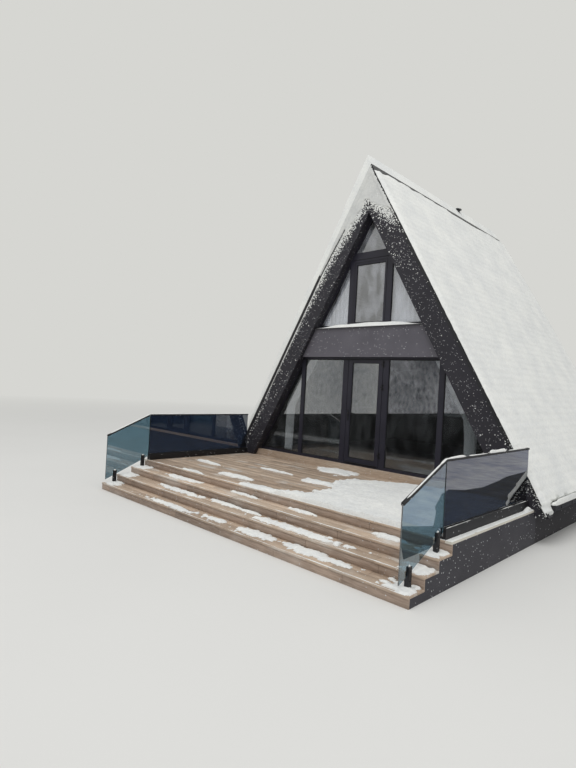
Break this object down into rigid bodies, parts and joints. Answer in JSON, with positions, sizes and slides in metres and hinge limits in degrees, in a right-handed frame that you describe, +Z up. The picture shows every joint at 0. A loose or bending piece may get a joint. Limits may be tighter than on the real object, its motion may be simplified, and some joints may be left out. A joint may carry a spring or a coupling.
{
  "type": "a-frame cabin",
  "caption": "A-frame cabin with a steep shingled roof, glazed front, hinged glass door, tiled terrace with steps and glass balustrades.",
  "frame": {"origin": "on the ground, under the middle of the front face of the roof frame", "axes": "+X to the right seen from the front, +Y from the front towards the rear, +Z up"},
  "size_m": [7.7128, 10.598, 7.465],
  "materials": {
    "dark_render": "fine anthracite render with snow specks",
    "concrete": "cast concrete",
    "floor_boards": "matt laid boards",
    "inner_lining": "matt tongued boards",
    "frame_cladding": "matt anthracite fascia panels",
    "shingles": "mineral-faced bitumen shingles under snow",
    "black_metal": "satin folded sheet",
    "spandrel_panel": "matt anthracite panel",
    "window_frame": "satin anthracite profiles",
    "window_glass": "double glazing",
    "hardware": "satin black",
    "porcelain_tile": "wood-look porcelain, joints and light snow",
    "coping_stone": "light stone strip",
    "rail_metal": "satin black",
    "rail_glass": "blue-grey tinted safety glass",
    "vent_metal": "satin dark grey",
    "settled_snow": "settled snow",
    "sheer_curtain": "sheer white weave",
    "rear_cladding": "dark stained boards"
  },
  "bodies": {
    "cabin": {"plinth_ends": "dark_render", "plinth_sides": "dark_render", "floor_slab": "concrete", "floor_finish": "floor_boards", "entrance_tiles": "porcelain_tile", "upper_floor": "floor_boards", "roof_panel_left": "inner_lining", "roof_panel_right": "inner_lining", "front_frame_left": "frame_cladding", "front_frame_right": "frame_cladding", "rear_frame_left": "frame_cladding", "rear_frame_right": "frame_cladding", "shingles_left": "shingles", "shingles_right": "shingles", "ridge_cap": "black_metal", "verge_trim_left": "black_metal", "verge_trim_right": "black_metal", "eave_boards": "frame_cladding", "gutters": "black_metal", "spandrel": "spandrel_panel", "sill_flashing": "black_metal", "lower_mullions": "window_frame", "lower_rails": "window_frame", "lower_rakes": "window_frame", "lower_glass": "window_glass", "upper_mullions": "window_frame", "upper_rails": "window_frame", "upper_rakes": "window_frame", "upper_sash": "window_frame", "upper_glass": "window_glass", "door_stops": "window_frame", "frame_hinges": "hardware", "terrace_base": "dark_render", "step_base": "dark_render", "treads": "porcelain_tile", "risers": "porcelain_tile", "terrace_paving": "porcelain_tile", "copings": "coping_stone", "rail_shoes": "rail_metal", "rail_glass": "rail_glass", "rail_tops": "rail_metal", "rail_clamps": "rail_metal", "vent_pipe": "vent_metal", "vent_cowl": "vent_metal", "snow_left": "settled_snow", "snow_right": "settled_snow", "curtain_left": "sheer_curtain", "curtain_right": "sheer_curtain", "rear_wall": "rear_cladding", "rear_window_frames": "window_frame", "rear_glass": "window_glass"},
    "front_door": {"door_leaf": "window_frame", "door_glass": "window_glass", "door_handle": "hardware", "door_hinges": "hardware"}
  },
  "joints": [
    {"name": "front_door_hinge", "type": "hinge", "parent": "cabin", "child": "front_door", "pos_m": [0.45, 0.168, 0.74], "axis": [0, 0, 1], "range_deg": [0, 100]}
  ]
}
